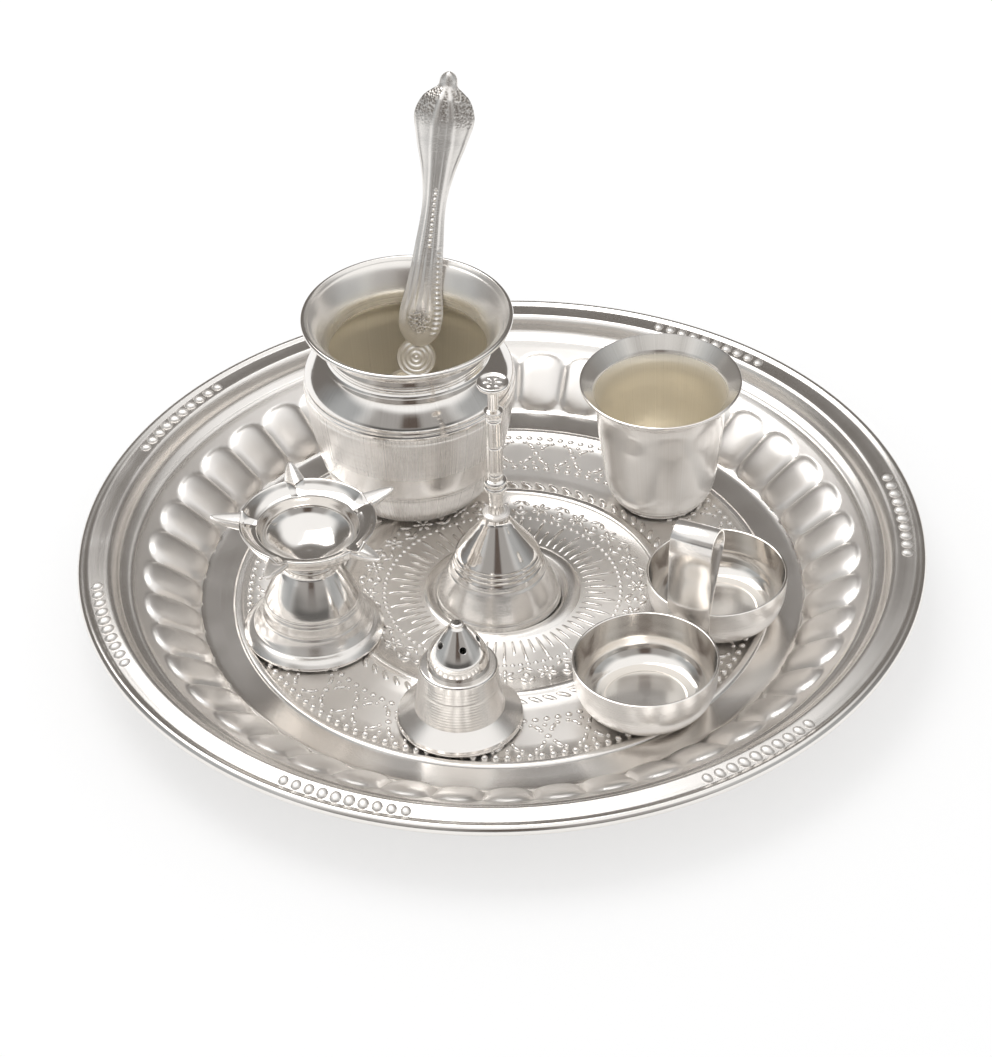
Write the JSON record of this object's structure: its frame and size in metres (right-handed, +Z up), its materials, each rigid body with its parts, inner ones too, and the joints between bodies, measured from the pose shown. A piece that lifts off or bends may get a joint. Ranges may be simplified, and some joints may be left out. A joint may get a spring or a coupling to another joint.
{
  "type": "puja thali set",
  "caption": "Round fluted metal offering plate carrying a water pot with a leaning spoon, a tumbler, a hand bell, a wick lamp, an incense stand and small bowls.",
  "frame": {"origin": "centre of the plate's flat underside", "axes": "+Z up; the picture is taken from -Y, with +X to its right"},
  "size_m": [0.3, 0.3, 0.1434],
  "materials": {
    "plate_silver": "pressed and plated sheet, bright with soft satin fields",
    "polished_silver": "polished plating",
    "satin_silver": "fine turned satin plating",
    "iron_wire": "bare wire"
  },
  "bodies": {
    "thali": {"thali_plate": "plate_silver"},
    "kalash": {"kalash_body": "satin_silver", "kalash_neck": "polished_silver"},
    "spoon": {"spoon_handle": "polished_silver", "spoon_bowl": "polished_silver"},
    "tumbler": {"tumbler": "satin_silver"},
    "bell": {"bell_dome": "polished_silver", "bell_collar": "polished_silver", "bell_handle": "polished_silver", "bell_finial": "polished_silver", "bell_eye_nut": "satin_silver"},
    "clapper": {"bell_clapper_rod": "iron_wire", "bell_clapper_ball": "polished_silver"},
    "diya": {"diya_bowl": "polished_silver", "diya_pedestal": "polished_silver", "diya_stud": "satin_silver"},
    "incense_holder": {"incense_stand": "satin_silver"},
    "plain_cup": {"plain_bowl": "polished_silver"},
    "handled_cup": {"handled_bowl": "polished_silver", "strip_handle": "polished_silver"}
  },
  "joints": [
    {"name": "kalash_lift", "type": "slide", "parent": "thali", "child": "kalash", "axis": [0, 0, 1], "range_m": [0, 0.1]},
    {"name": "spoon_lift", "type": "slide", "parent": "kalash", "child": "spoon", "axis": [0, 0, 1], "range_m": [0, 0.15]},
    {"name": "tumbler_lift", "type": "slide", "parent": "thali", "child": "tumbler", "axis": [0, 0, 1], "range_m": [0, 0.1]},
    {"name": "bell_lift", "type": "slide", "parent": "thali", "child": "bell", "axis": [0, 0, 1], "range_m": [0, 0.12]},
    {"name": "diya_lift", "type": "slide", "parent": "thali", "child": "diya", "axis": [0, 0, 1], "range_m": [0, 0.1]},
    {"name": "incense_lift", "type": "slide", "parent": "thali", "child": "incense_holder", "axis": [0, 0, 1], "range_m": [0, 0.1]},
    {"name": "plain_bowl_lift", "type": "slide", "parent": "thali", "child": "plain_cup", "axis": [0, 0, 1], "range_m": [0, 0.1]},
    {"name": "handled_bowl_lift", "type": "slide", "parent": "thali", "child": "handled_cup", "axis": [0, 0, 1], "range_m": [0, 0.1]},
    {"name": "clapper_swing", "type": "hinge", "parent": "bell", "child": "clapper", "pos_m": [-0.0015, -0.0023, 0.0302], "axis": [1, 0, 0], "range_deg": [-34, 34]}
  ]
}
